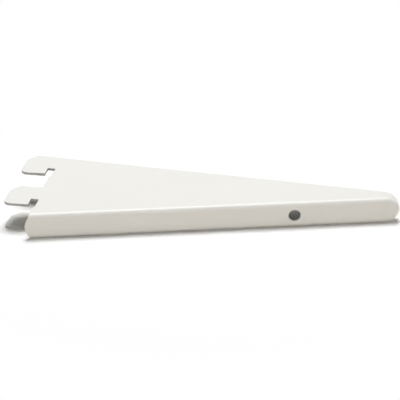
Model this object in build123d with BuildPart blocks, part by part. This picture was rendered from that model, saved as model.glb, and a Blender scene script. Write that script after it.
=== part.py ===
from build123d import *
import os
from math import atan2, cos, pi, radians, sin, tan

# A shelf bracket for a slotted upright: one steel sheet, folded and drawn into a tapering channel.
# Sizes are in millimetres. The frame is that of the bracket at work on its upright: X runs from
# the back edges out to the nose, Y across the channel and Z up. The channel is open at the top
# and at the back, and its free top edges, which carry the shelf, lie in the plane Z = 0.

# Channel: the side plates and the nose lean outward from the web, so it is widest at the top
sheet = 1.5
web_width = 12.8
lean = 2.9
reach = 172.0
nose_depth = 5.8
heel = 5.2
bend_inner_radius = 1.0

# Tongue: the rounded rear end of the web, which runs out on the two bends
tongue_reach = 1.6
tongue_run_out = 0.8
tongue_root_radius = 0.6

# Hooks: two on each side plate, one slot pitch apart
hook_pitch = 32.0
hook_reach = 15.0
hook_depth = 17.4
hook_toe_fall = 1.0
hook_toe_radius = 2.8
hook_slope_run = 4.3
hook_slope_drop = 5.3
hook_brow_radius = 1.6
hook_root_radius = 0.8

# Notches: the gaps behind the hooks, which grip the face of the upright
notch_gap = 2.7
notch_grip = 5.9
notch_relief = 1.0
notch_lead_in = 1.3
notch_run_out = 2.0
notch_corner_radius = 0.5

# Screw hole: through the web, square to it
hole_diameter = 6.0
hole_from_nose = 48.6

# Rounding of the cut edges under their coating
edge_round = 0.3

half_web = web_width / 2
bend_radius = bend_inner_radius + sheet
bend_setback = bend_radius * tan((pi / 2 - radians(lean)) / 2)
tongue_half_width = half_web - bend_setback + tongue_run_out
notch_top = hook_depth - notch_grip
notch_foot = hook_depth + notch_lead_in
plate_foot = hook_pitch + notch_foot + notch_run_out
back_depth = plate_foot + heel + bend_radius
web_angle = atan2(back_depth - nose_depth, reach)
web_length = (reach - bend_radius * (1 - sin(web_angle))) / cos(web_angle) + bend_setback
web_plane = Plane(
    origin=(0, 0, -back_depth),
    x_dir=(cos(web_angle), 0, sin(web_angle)),
    z_dir=(sin(web_angle), 0, -cos(web_angle)),
)
overrun = 2 * hook_reach
hook_seats = [(0, 0), (0, -hook_pitch)]

# Outline of one hook, with its top edge at zero height and the back edge of the plate at zero reach
with BuildSketch() as hook:
    with BuildLine():
        outer_edge = FilletPolyline(
            (sheet, 0),
            (hook_slope_run - hook_reach, 0),
            (-hook_reach, -hook_slope_drop),
            (-hook_reach, -hook_depth - hook_toe_fall),
            (-notch_gap, -hook_depth),
            radius=(hook_brow_radius, hook_brow_radius, hook_toe_radius),
        )
        Polyline(outer_edge @ 1, (sheet, -hook_depth), outer_edge @ 0)
    make_face()

# Outline of the notch behind that hook: up behind the hook, into the plate, and sloping out again
with BuildSketch() as notch:
    with BuildLine():
        roof_and_relief = FilletPolyline(
            (-notch_gap, -notch_top),
            (notch_relief, -notch_top),
            (notch_relief, -notch_foot),
            (0, -notch_foot - notch_run_out),
            radius=notch_corner_radius,
        )
        Polyline(
            roof_and_relief @ 1,
            (-notch_gap, -notch_foot - notch_run_out),
            roof_and_relief @ 0,
        )
    make_face()

with BuildPart() as bracket:
    # The outline of the web, with its full round nose, is carried up past the free edges. It starts
    # some way behind the hooks.
    with BuildSketch(web_plane):
        with BuildLine():
            back = Line((-overrun, half_web), (-overrun, -half_web))
            near_side = Line(back @ 1, (web_length - half_web, -half_web))
            nose = ThreePointArc(near_side @ 1, (web_length, 0), (web_length - half_web, half_web))
            Line(nose @ 1, back @ 0)
        make_face()
    extrude(amount=-back_depth - overrun)

    # The sides and the nose, which stand square on the web so far, lean outward from it
    back_wall_first = bracket.faces().filter_by(web_plane, reverse=True).sort_by(Axis.X)
    draft(back_wall_first[1:], neutral_plane=web_plane, angle=lean)

    # One bend runs along both sides and round the nose
    web_edges = bracket.faces().sort_by(Axis.Z)[0].edges()
    fillet(web_edges.filter_by(Axis.Y, reverse=True), radius=bend_radius)

    # The sheet has one thickness all over
    open_top = bracket.faces().sort_by(Axis.Z)[-1]
    open_back = bracket.faces().sort_by(Axis.X)[0]
    offset(amount=-sheet, openings=[open_top, open_back])

    # The free edges that carry the shelf are level
    split(bisect_by=Plane.XY, keep=Keep.BOTTOM)

    # Seen from the side, the rear end is trimmed to the back edges of the plates, the hooks and the
    # notches. The lower hook runs into the back edge with a small radius.
    with BuildSketch(Plane.XZ) as rear_trim:
        with Locations((-overrun, (sheet - plate_foot) / 2)):
            Rectangle(2 * overrun, plate_foot + sheet)
        with Locations(*hook_seats):
            add(hook.sketch, mode=Mode.SUBTRACT)
            add(notch.sketch)
        hook_root = rear_trim.vertices().sort_by_distance((0, -hook_pitch))[0]
        fillet(hook_root, radius=hook_root_radius)
    extrude(amount=web_width, both=True, mode=Mode.SUBTRACT)

    # Below them it is trimmed to the plates' back edges and the rounded tongue between them
    with BuildSketch(Plane.XY.offset(-plate_foot)) as tongue_trim:
        with BuildLine():
            back_edges = Polyline(
                (0, tongue_half_width),
                (0, web_width),
                (-2 * overrun, web_width),
                (-2 * overrun, -web_width),
                (0, -web_width),
                (0, -tongue_half_width),
            )
            ThreePointArc(back_edges @ 1, (-tongue_reach, 0), back_edges @ 0)
        make_face()
        tongue_corners = tongue_trim.vertices().filter_by_position(Axis.Y, -half_web, half_web)
        fillet(tongue_corners, radius=tongue_root_radius)
    extrude(amount=-back_depth, mode=Mode.SUBTRACT)

    # The screw hole goes through the web, short of the nose
    hole_seat = (reach - hole_from_nose) / cos(web_angle)
    with Locations(web_plane):
        with Locations((hole_seat, 0)):
            Hole(radius=hole_diameter / 2, depth=2 * sheet)

    # The coating rounds both rims of the cut edges. Each rim is one smooth chain, which the fillet
    # follows across the bends and round the tongue.
    plates = bracket.faces().filter_by(GeomType.PLANE).sort_by(SortBy.AREA)[-4:]
    bends = bracket.faces().filter_by(GeomType.CYLINDER).sort_by(SortBy.AREA)[-4:]
    nose_walls = bracket.faces().filter_by(GeomType.CONE)
    nose_rims = nose_walls.edges().group_by(Axis.Z)[-1]
    folds = bends.edges() + nose_walls.edges()
    plate_rims = plates.edges().filter_by(lambda edge: edge not in folds)
    fillet(plate_rims + nose_rims, radius=edge_round)

bracket.part.label = "bracket"
os.makedirs("parts", exist_ok=True)
export_step(bracket.part, "parts/bracket.step")
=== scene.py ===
"""Looks of the shelf bracket: its powder coat, and the pale floor, lamps and camera around it.

The bracket lies on its +Y side plate, which leans outward from the web. The floor is the plane
just beyond that plate, so it leans with it, and the lamps stand on its upper side.
"""

from math import atan2, cos, radians, sin, tan

import bpy
import numpy as np
from bpy.props import FloatProperty, FloatVectorProperty, PointerProperty
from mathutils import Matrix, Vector


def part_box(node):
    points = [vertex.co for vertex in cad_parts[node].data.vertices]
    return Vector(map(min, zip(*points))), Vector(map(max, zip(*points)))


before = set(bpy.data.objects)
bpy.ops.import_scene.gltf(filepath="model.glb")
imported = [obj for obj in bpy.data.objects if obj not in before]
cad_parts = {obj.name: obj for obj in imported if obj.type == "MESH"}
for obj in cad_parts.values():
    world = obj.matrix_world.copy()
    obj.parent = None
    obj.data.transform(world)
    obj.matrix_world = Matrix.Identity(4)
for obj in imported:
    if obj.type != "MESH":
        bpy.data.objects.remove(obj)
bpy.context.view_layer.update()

bl_info = {
    "name": "Shelf Bracket Looks",
    "version": (1, 0, 0),
    "blender": (4, 5, 0),
    "location": "3D View > Sidebar > Bracket",
    "description": "Powder coat and studio for a folded sheet-steel shelf bracket",
    "category": "Object",
}

NODE = "bracket"
SLOT = "white_powder_coat"
MM = 0.001

# Sizes of the folded channel, in metres
HALF_WEB = 6.4 * MM
LEAN = radians(2.9)
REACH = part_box(NODE)[1].x
SHEET = 1.5 * MM
BEND = 2.5 * MM
NOSE_DEPTH = 5.8 * MM
BACK_DEPTH = 60.4 * MM
WEB_ANGLE = atan2(BACK_DEPTH - NOSE_DEPTH, REACH)
WEB_OUT = Vector((sin(WEB_ANGLE), 0.0, -cos(WEB_ANGLE)))
NOSE_CENTER = REACH / cos(WEB_ANGLE) - HALF_WEB
MIDDLE = Vector((0.078, 0.0, -0.028))

# The outer face of the lower side plate: which way it faces, and one of its points
PLATE_OUT = cos(LEAN) * Vector((0.0, 1.0, 0.0)) + sin(LEAN) * WEB_OUT
PLATE_FOOT = Vector((0.0, HALF_WEB, -BACK_DEPTH))

# Straight up from the floor, and level with it on the web's side
UP = -PLATE_OUT
WEB_SIDE = (WEB_OUT - UP * WEB_OUT.dot(UP)).normalized()

# Where each mask of the coat fades in or out, as a low and a high end. The first three go by the
# depth in the sheet. The last two also say what the mask is at each end: the painted shade down
# inside the channel is lighter at the hooks and the free edges than on the web's inner face.
EDGE_STARTS = (0.05 * SHEET, 0.25 * SHEET)
EDGE_ENDS = (0.95 * SHEET, 0.75 * SHEET)
INSIDE_STARTS = (0.5 * SHEET, 0.9 * SHEET)
DEEP_FROM_BACK = (-8 * MM, 20 * MM, 0.25, 1.0)
DEEP_OVER_WEB = (40 * MM, 4 * MM, 0.15, 1.0)

# Texture of the coat
CLOUD_SIZE = 45 * MM
CLOUD_MIX = (0.30, 0.70, 0.0, 0.10)
SPECKLE_SIZE = 3.5 * MM
SPECKLE_MIX = (0.30, 0.70, 0.75, 1.0)
ROUGHNESS_SPREAD = 0.03
THIN_ROUGHNESS = 0.15
GRAINS_PER_PEEL = 7
GRAIN_TO_PEEL_HEIGHT = 0.08
COAT_IOR = 1.5

# Floor: the colour of the light that it throws back, the distance from the bracket's middle over
# which it fades to plain white to look at, and how many floor gaps a short ray reaches through it
WHITE = (1.0, 1.0, 1.0)
FLOOR_LIGHT = (0.87, 0.81, 0.73)
FLOOR_FADE = (0.115, 0.16)
GAPS_THROUGH = 3

# Softboxes: name, lean from straight up to the web's side and then towards the nose, both in
# degrees, and length of a side
SOFTBOX_DISTANCE = 1.3
SOFTBOXES = (
    ("overhead_softbox", -14.0, 0.0, 0.72),
    ("front_softbox", 76.0, 0.0, 0.5),
    ("side_softbox", 0.0, 70.0, 0.6),
    ("under_softbox", 150.0, 0.0, 1.2),
)


class BracketCoatSizes(bpy.types.PropertyGroup):
    """Colours and texture sizes of the powder coat"""

    color: FloatVectorProperty(
        name="Coat colour", description="Warm white of the full coat, linear",
        subtype="COLOR", size=3, min=0.0, max=1.0, default=(0.798, 0.790, 0.752),
    )
    # Partly painted shade: the cut edges are grey for their thinner coat and for the shade on
    # their rims
    thin_and_shade_color: FloatVectorProperty(
        name="Thin coat colour", description="Colour of the thin coat on cut edges, linear",
        subtype="COLOR", size=3, min=0.0, max=1.0, default=(0.42, 0.415, 0.395),
    )
    cloud_color: FloatVectorProperty(
        name="Cloud colour", description="Colour of the slow clouds in the coat, linear",
        subtype="COLOR", size=3, min=0.0, max=1.0, default=(0.69, 0.685, 0.65),
    )
    # Painted shade: a dark grey down inside the channel, where little light gets in
    inside_shade_color: FloatVectorProperty(
        name="Shade colour", description="Grey painted_shade down inside the channel, linear",
        subtype="COLOR", size=3, min=0.0, max=1.0, default=(0.24, 0.245, 0.235),
    )
    roughness: FloatProperty(
        name="Roughness", description="Roughness of the cured coat",
        subtype="FACTOR", min=0.05, max=1.0, default=0.42,
    )
    peel_size: FloatProperty(
        name="Peel size", description="Width of one orange-peel ripple",
        subtype="DISTANCE", unit="LENGTH", min=0.0003, max=0.01, default=0.0024,
    )
    peel_height: FloatProperty(
        name="Peel height", description="Height of an orange-peel ripple",
        subtype="DISTANCE", unit="LENGTH", min=0.0, max=0.0002, default=0.000012,
    )


class BracketStageSizes(bpy.types.PropertyGroup):
    """Floor, lamps and camera"""

    floor_gap: FloatProperty(
        name="Floor gap", description="Gap between the lower side plate and the floor",
        subtype="DISTANCE", unit="LENGTH", min=0.0, max=0.001, default=0.00002,
    )
    floor_size: FloatProperty(
        name="Floor size", description="Length of a side of the floor",
        subtype="DISTANCE", unit="LENGTH", min=0.5, max=20.0, default=6.0,
    )
    overhead_power: FloatProperty(
        name="Overhead softbox", description="Power of the softbox over the bracket",
        unit="POWER", min=0.0, max=100.0, default=17.2,
    )
    front_power: FloatProperty(
        name="Front softbox", description="Power of the softbox on the web's side",
        unit="POWER", min=0.0, max=100.0, default=4.8,
    )
    side_power: FloatProperty(
        name="Side softbox", description="Power of the low softbox beyond the nose",
        unit="POWER", min=0.0, max=100.0, default=2.0,
    )
    under_power: FloatProperty(
        name="Under softbox", description="Power of the lamp that lights the lower side plate",
        unit="POWER", min=0.0, max=100.0, default=18.0,
    )
    sky: FloatProperty(
        name="Surround", description="Brightness of the surround as a light",
        min=0.0, max=2.0, default=0.03,
    )
    camera_place: FloatVectorProperty(
        name="Camera place", description="Where the camera stands",
        subtype="TRANSLATION", unit="LENGTH", size=3, default=(0.35844, -0.64805, -1.30507),
    )
    camera_turn: FloatVectorProperty(
        name="Camera turn", description="Turn of the camera about X, Y and Z",
        subtype="EULER", unit="ROTATION", size=3,
        default=(radians(153.83304), radians(-12.27551), radians(0.23815)),
    )
    camera_lens: FloatProperty(
        name="Lens", description="Focal length in millimetres",
        min=20.0, max=600.0, default=270.0,
    )


def add_node(tree, kind, settings=None, **inputs):
    """A shader node of that kind. An input is a value or an output socket of another node, and
    i with a number names it by its place."""
    node = tree.nodes.new(kind)
    for name, value in (settings or {}).items():
        setattr(node, name, value)
    for name, value in inputs.items():
        socket = node.inputs[int(name[1:]) if name[0] == "i" and name[1:].isdigit() else name]
        if isinstance(value, bpy.types.NodeSocket):
            tree.links.new(value, socket)
        else:
            socket.default_value = value
    return node


def math_node(tree, operation, *values):
    """The output of one Math node on one or two values or sockets."""
    inputs = {f"i{place}": value for place, value in enumerate(values)}
    return add_node(tree, "ShaderNodeMath", {"operation": operation}, **inputs).outputs[0]


def product(tree, first, second):
    """The product of two values or sockets."""
    return math_node(tree, "MULTIPLY", first, second)


def larger(tree, first, second):
    """The larger of two values or sockets."""
    return math_node(tree, "MAXIMUM", first, second)


def hypotenuse(tree, first, second):
    """The length of the straight line over two sides at a right angle."""
    squares = [math_node(tree, "POWER", side, 2.0) for side in (first, second)]
    return math_node(tree, "SQRT", math_node(tree, "ADD", *squares))


def ramp(tree, value, low, high, to_low=0.0, to_high=1.0):
    """A smooth step of value from to_low at low to to_high at high."""
    node = add_node(
        tree, "ShaderNodeMapRange", {"interpolation_type": "SMOOTHSTEP"},
        Value=value, i1=low, i2=high, i3=to_low, i4=to_high,
    )
    return node.outputs[0]


def noise(tree, place, size, detail, roughness=0.5):
    """Noise whose blotches are about size metres wide."""
    node = add_node(
        tree, "ShaderNodeTexNoise",
        Vector=place, Scale=1.0 / size, Detail=detail, Roughness=roughness,
    )
    return node.outputs["Fac"]


def mix_color(tree, factor, first, second):
    """first where the factor is 0, second where it is 1."""
    node = add_node(tree, "ShaderNodeMix", {"data_type": "RGBA"}, i0=factor)
    for place, value in ((6, first), (7, second)):
        if isinstance(value, bpy.types.NodeSocket):
            tree.links.new(value, node.inputs[place])
        else:
            node.inputs[place].default_value = (*value, 1.0)
    return node.outputs[2]


def mix_shader(tree, factor, first, second):
    """The shader of the first node where the factor is 0, of the second where it is 1."""
    return add_node(
        tree, "ShaderNodeMixShader", i0=factor, i1=first.outputs[0], i2=second.outputs[0],
    )


def new_material(name):
    """A material of that name with an empty node tree."""
    material = bpy.data.materials.new(name)
    material.use_nodes = True
    material.node_tree.nodes.clear()
    return material


def powder_coat(sizes):
    """Warm white powder coat: orange peel, fine grain, slow clouding, a thinner coat along the cut
    edges with painted shade on them, and painted shade down inside the channel."""
    material = new_material(SLOT)
    tree = material.node_tree
    place = add_node(tree, "ShaderNodeTexCoord").outputs["Object"]
    x, y, z = add_node(tree, "ShaderNodeSeparateXYZ", Vector=place).outputs

    # How deep a point is in the sheet: 0 on its outer face, SHEET on its inner one, and in between
    # on the cut edges. Heights are measured square to the web, and the walls lean outward with
    # the height.
    raised = math_node(tree, "ADD", z, BACK_DEPTH)
    over_web = math_node(
        tree, "SUBTRACT",
        product(tree, raised, cos(WEB_ANGLE)), product(tree, x, sin(WEB_ANGLE)),
    )
    along_web = math_node(
        tree, "ADD",
        product(tree, x, cos(WEB_ANGLE)), product(tree, raised, sin(WEB_ANGLE)),
    )
    past_nose = larger(tree, math_node(tree, "SUBTRACT", along_web, NOSE_CENTER), 0.0)
    off_axis = hypotenuse(tree, past_nose, y)
    wall = math_node(tree, "ADD", product(tree, over_web, tan(LEAN)), HALF_WEB)
    off_wall = math_node(tree, "SUBTRACT", wall, off_axis)
    to_bend = [
        larger(tree, math_node(tree, "SUBTRACT", BEND, off), 0.0) for off in (off_wall, over_web)
    ]
    depth = math_node(tree, "SUBTRACT", BEND, hypotenuse(tree, *to_bend))

    # The cut edges, and the inside of the channel
    on_plates = ramp(tree, over_web, SHEET, BEND)
    between_faces = product(
        tree, ramp(tree, depth, *EDGE_STARTS), ramp(tree, depth, *EDGE_ENDS),
    )
    edge = product(tree, on_plates, between_faces)
    inside = ramp(tree, depth, *INSIDE_STARTS)
    # Painted shade down inside the channel, lighter towards the hooks and the free edges
    deep = product(
        tree, ramp(tree, x, *DEEP_FROM_BACK),
        product(tree, inside, ramp(tree, over_web, *DEEP_OVER_WEB)),
    )

    # Clouds, then the edges' thinner coat and painted shade, broken up by speckles, then painted
    # shade inside
    clouds = noise(tree, place, CLOUD_SIZE, 3.0)
    speckle = noise(tree, place, SPECKLE_SIZE, 4.0, 0.65)
    # Partly painted shade: the cut edges darken for their thinner coat and for the shade that
    # falls on their rims
    thin_and_shaded = product(tree, edge, ramp(tree, speckle, *SPECKLE_MIX))
    clouded = mix_color(tree, ramp(tree, clouds, *CLOUD_MIX), sizes.color, sizes.cloud_color)
    thinned_and_shaded = mix_color(tree, thin_and_shaded, clouded, sizes.thin_and_shade_color)
    color = mix_color(tree, deep, thinned_and_shaded, sizes.inside_shade_color)

    # The coat is rougher on the cut edges and down inside the channel
    smoothest = sizes.roughness - ROUGHNESS_SPREAD
    roughest = sizes.roughness + ROUGHNESS_SPREAD
    roughness = math_node(
        tree, "ADD", ramp(tree, speckle, 0.25, 0.75, smoothest, roughest),
        product(tree, larger(tree, thin_and_shaded, deep), THIN_ROUGHNESS),
    )

    # Orange peel and a finer grain on it
    peel = noise(tree, place, sizes.peel_size, 1.0)
    grain = noise(tree, place, sizes.peel_size / GRAINS_PER_PEEL, 2.0)
    height = math_node(
        tree, "ADD", product(tree, peel, sizes.peel_height),
        product(tree, grain, GRAIN_TO_PEEL_HEIGHT * sizes.peel_height),
    )
    bump = add_node(tree, "ShaderNodeBump", Strength=1.0, Distance=1.0, Height=height)
    shader = add_node(
        tree, "ShaderNodeBsdfPrincipled", Roughness=roughness, IOR=COAT_IOR,
        Normal=bump.outputs[0], **{"Base Color": color},
    )
    add_node(tree, "ShaderNodeOutputMaterial", Surface=shader.outputs[0])
    return material


def looked_at(tree):
    """1 for what the camera sees, also in a reflection or through glass, and 0 for its light."""
    path = add_node(tree, "ShaderNodeLightPath").outputs
    through = larger(tree, path["Is Glossy Ray"], path["Is Transmission Ray"])
    return larger(tree, path["Is Camera Ray"], through)


def floor_paint(reach_through):
    """White floor. It is clear from behind, so that the lower side of the bracket can be looked
    at, and clear to rays shorter than reach_through, so that the plate that rests on it is lit.
    Well away from the bracket it is plain white to look at."""
    material = new_material("pale_floor")
    tree = material.node_tree
    color = mix_color(tree, looked_at(tree), FLOOR_LIGHT, WHITE)
    paint = add_node(tree, "ShaderNodeBsdfDiffuse", Color=color)
    place = add_node(tree, "ShaderNodeTexCoord").outputs["Object"]
    away = add_node(tree, "ShaderNodeVectorMath", {"operation": "DISTANCE"}, i0=place, i1=MIDDLE)
    far = product(tree, looked_at(tree), ramp(tree, away.outputs["Value"], *FLOOR_FADE))
    plain = add_node(tree, "ShaderNodeEmission", Color=(*WHITE, 1.0), Strength=1.0)
    painted = mix_shader(tree, far, paint, plain)

    path = add_node(tree, "ShaderNodeLightPath").outputs
    behind = add_node(tree, "ShaderNodeNewGeometry").outputs["Backfacing"]
    short = math_node(tree, "LESS_THAN", path["Ray Length"], reach_through)
    not_camera = math_node(tree, "SUBTRACT", 1.0, path["Is Camera Ray"])
    see_through = larger(tree, behind, product(tree, short, not_camera))
    clear = add_node(tree, "ShaderNodeBsdfTransparent")
    mixed = mix_shader(tree, see_through, painted, clear)
    add_node(tree, "ShaderNodeOutputMaterial", Surface=mixed.outputs[0])
    return material


def surround(level):
    """A plain surround: white to the camera and in reflections, and a light of that level."""
    world = bpy.data.worlds.new("surround")
    world.use_nodes = True
    tree = world.node_tree
    tree.nodes.clear()
    color = mix_color(tree, looked_at(tree), (level,) * 3, WHITE)
    background = add_node(tree, "ShaderNodeBackground", Color=color, Strength=1.0)
    add_node(tree, "ShaderNodeOutputWorld", Surface=background.outputs[0])
    return world


def floor_sheet(size, gap):
    """A square sheet that lies gap beyond the lower side plate and faces it. Its corners are
    c + size (u a + v b) with u and v at -1/2 and 1/2, where a and b lie in its plane."""
    over = MIDDLE + PLATE_OUT * ((PLATE_FOOT - MIDDLE).dot(PLATE_OUT) + gap)
    a = np.array(PLATE_OUT.cross((0.0, 0.0, 1.0)).normalized())
    b = np.cross(a, np.array(PLATE_OUT))
    u, v = np.meshgrid((-0.5, 0.5), (-0.5, 0.5), indexing="ij")
    points = np.array(over) + size * (u[..., None] * a + v[..., None] * b)
    mesh = bpy.data.meshes.new("floor")
    mesh.from_pydata(points.reshape(-1, 3).tolist(), [], [(0, 2, 3, 1)])
    mesh.update()
    return mesh


def leaning(to_web, to_nose):
    """The direction that leans by so many degrees from straight up to the web's side, and then
    towards the nose's end."""
    over = UP * cos(radians(to_web)) + WEB_SIDE * sin(radians(to_web))
    return over * cos(radians(to_nose)) + UP.cross(WEB_SIDE) * sin(radians(to_nose))


def softbox(name, direction, size, power):
    """A square lamp that stands in that direction from the bracket's middle and faces it."""
    lamp = bpy.data.lights.new(name, "AREA")
    lamp.shape = "SQUARE"
    lamp.size = size
    lamp.energy = power
    holder = bpy.data.objects.new(name, lamp)
    holder.location = MIDDLE + direction * SOFTBOX_DISTANCE
    holder.rotation_euler = direction.to_track_quat("Z", "Y").to_euler()
    bpy.context.scene.collection.objects.link(holder)


class BRACKET_OT_powder_coat(bpy.types.Operator):
    """Give the folded sheet its warm white powder coat"""

    bl_idname = "bracket.powder_coat"
    bl_label = "Powder Coat"

    def execute(self, context):
        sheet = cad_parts[NODE]
        material = powder_coat(context.scene.bracket_coat)
        if not sheet.material_slots:
            sheet.data.materials.append(material)
        for slot in sheet.material_slots:
            slot.material = material
        return {"FINISHED"}


class BRACKET_OT_stage(bpy.types.Operator):
    """Add the floor, the lamps, the surround and the camera"""

    bl_idname = "bracket.stage"
    bl_label = "Studio"

    def execute(self, context):
        sizes = context.scene.bracket_stage
        scene = context.scene
        mesh = floor_sheet(sizes.floor_size, sizes.floor_gap)
        mesh.materials.append(floor_paint(GAPS_THROUGH * sizes.floor_gap))
        floor = bpy.data.objects.new("floor", mesh)
        scene.collection.objects.link(floor)

        powers = (
            sizes.overhead_power, sizes.front_power, sizes.side_power, sizes.under_power,
        )
        for (name, to_web, to_nose, size), power in zip(SOFTBOXES, powers):
            softbox(name, leaning(to_web, to_nose), size, power)
        scene.world = surround(sizes.sky)

        camera = bpy.data.cameras.new("camera")
        camera.sensor_width = 36.0
        camera.lens = sizes.camera_lens
        camera.clip_start = 0.05
        camera.clip_end = 50.0
        holder = bpy.data.objects.new("camera", camera)
        holder.location = sizes.camera_place
        holder.rotation_euler = sizes.camera_turn
        scene.collection.objects.link(holder)
        scene.camera = holder
        scene.view_settings.view_transform = "Standard"
        return {"FINISHED"}


class BRACKET_PT_panel(bpy.types.Panel):
    """Lists the bracket's operators and sizes"""

    bl_idname = "BRACKET_PT_panel"
    bl_label = "Shelf Bracket"
    bl_space_type = "VIEW_3D"
    bl_region_type = "UI"
    bl_category = "Bracket"

    def draw(self, context):
        for operator, sizes in (
            (BRACKET_OT_powder_coat, context.scene.bracket_coat),
            (BRACKET_OT_stage, context.scene.bracket_stage),
        ):
            box = self.layout.box()
            box.operator(operator.bl_idname)
            for name in sizes.__annotations__:
                box.prop(sizes, name)


CLASSES = (
    BracketCoatSizes,
    BracketStageSizes,
    BRACKET_OT_powder_coat,
    BRACKET_OT_stage,
    BRACKET_PT_panel,
)


def register():
    for cls in CLASSES:
        bpy.utils.register_class(cls)
    bpy.types.Scene.bracket_coat = PointerProperty(type=BracketCoatSizes)
    bpy.types.Scene.bracket_stage = PointerProperty(type=BracketStageSizes)


def unregister():
    del bpy.types.Scene.bracket_stage
    del bpy.types.Scene.bracket_coat
    for cls in reversed(CLASSES):
        bpy.utils.unregister_class(cls)


def main():
    register()
    bpy.ops.bracket.powder_coat()
    bpy.ops.bracket.stage()


if __name__ == "__main__":
    main()
